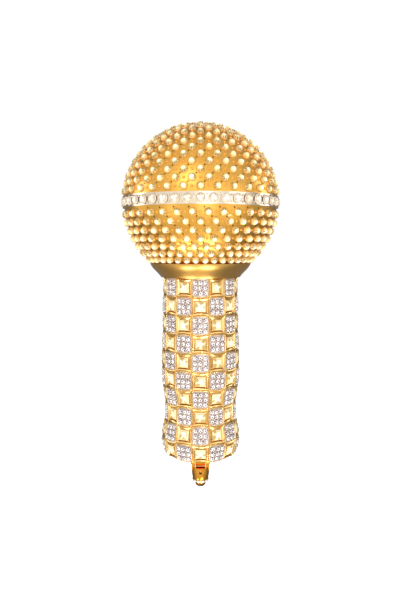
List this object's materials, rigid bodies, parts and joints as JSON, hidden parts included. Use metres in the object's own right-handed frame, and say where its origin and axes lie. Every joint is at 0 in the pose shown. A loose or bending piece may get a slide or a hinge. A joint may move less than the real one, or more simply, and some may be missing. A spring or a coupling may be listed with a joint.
{
  "type": "karaoke microphone",
  "caption": "Cordless hand-held karaoke microphone: stone-covered ball grille on a checkerboard stone grip, with a swinging drop at the tail.",
  "frame": {"origin": "on the long axis at the middle of the grip, where the hand holds it", "axes": "+Z along the long axis, up to the ball head; -Y is the front; +Y is the side with the switch and the charging socket"},
  "size_m": [0.076, 0.076, 0.1792],
  "materials": {
    "gold_plated_metal": "polished gold plate",
    "clear_crystal": "faceted, polished",
    "silver_plated_metal": "polished silver plate",
    "machined_brass": "turned",
    "plated_steel": "nickel plate",
    "black_plastic": "moulded, fine texture",
    "circuit_board": "solder mask",
    "metal_can": "satin",
    "foam": "open-cell foam",
    "rubber": "moulded",
    "battery_wrap": "shrink film",
    "clear_plastic": "polished"
  },
  "bodies": {
    "handle": {"neck_bush": "machined_brass", "collar": "gold_plated_metal", "grip_sleeve": "gold_plated_metal", "pave_tiles": "gold_plated_metal", "square_bezels": "gold_plated_metal", "pave_stones": "clear_crystal", "square_stones": "clear_crystal", "body_tube": "plated_steel", "control_plate": "gold_plated_metal", "control_screws": "gold_plated_metal", "charging_socket": "plated_steel", "socket_spacer": "black_plastic", "status_lens": "clear_plastic", "status_led": "clear_plastic", "switch_body": "black_plastic", "control_board": "circuit_board", "chassis": "black_plastic", "battery_cell": "battery_wrap", "battery_contacts": "plated_steel", "main_board": "circuit_board", "radio_module": "metal_can", "board_links": "black_plastic", "board_chips": "black_plastic", "capsule_stem": "metal_can", "capsule_mount": "rubber", "capsule": "metal_can", "capsule_leads": "plated_steel", "capsule_plug": "black_plastic", "tail_plate": "gold_plated_metal", "tail_screws": "plated_steel", "tail_lug": "gold_plated_metal", "lug_nut": "machined_brass", "hinge_pin": "gold_plated_metal"},
    "head_carrier": {"neck_gasket": "rubber"},
    "head": {"upper_grille": "gold_plated_metal", "lower_grille": "gold_plated_metal", "upper_grille_stones": "clear_crystal", "lower_grille_stones": "clear_crystal", "belt_channel": "silver_plated_metal", "belt_stones": "clear_crystal", "foam_liner": "foam", "head_ring": "machined_brass"},
    "slider": {"power_slider": "black_plastic"},
    "drop": {"drop_body": "gold_plated_metal", "drop_stones": "clear_crystal", "drop_tip_stone": "clear_crystal"}
  },
  "joints": [
    {"name": "head_lift", "type": "slide", "parent": "handle", "child": "head_carrier", "axis": [0, 0, 1], "range_m": [0, 0.006]},
    {"name": "head_unscrew", "type": "hinge", "parent": "head_carrier", "child": "head", "pos_m": [0, 0, 0.07885], "axis": [0, 0, 1], "range_deg": [0, 1440]},
    {"name": "power_slide", "type": "slide", "parent": "handle", "child": "slider", "axis": [0, 0, 1], "range_m": [0, 0.003]},
    {"name": "drop_swing", "type": "hinge", "parent": "handle", "child": "drop", "pos_m": [0, 0, -0.0493], "axis": [1, 0, 0], "range_deg": [-55, 55]}
  ],
  "couplings": [
    {"joint": "head_lift", "follows": "head_unscrew", "m_per_rad": 0.00023873}
  ]
}
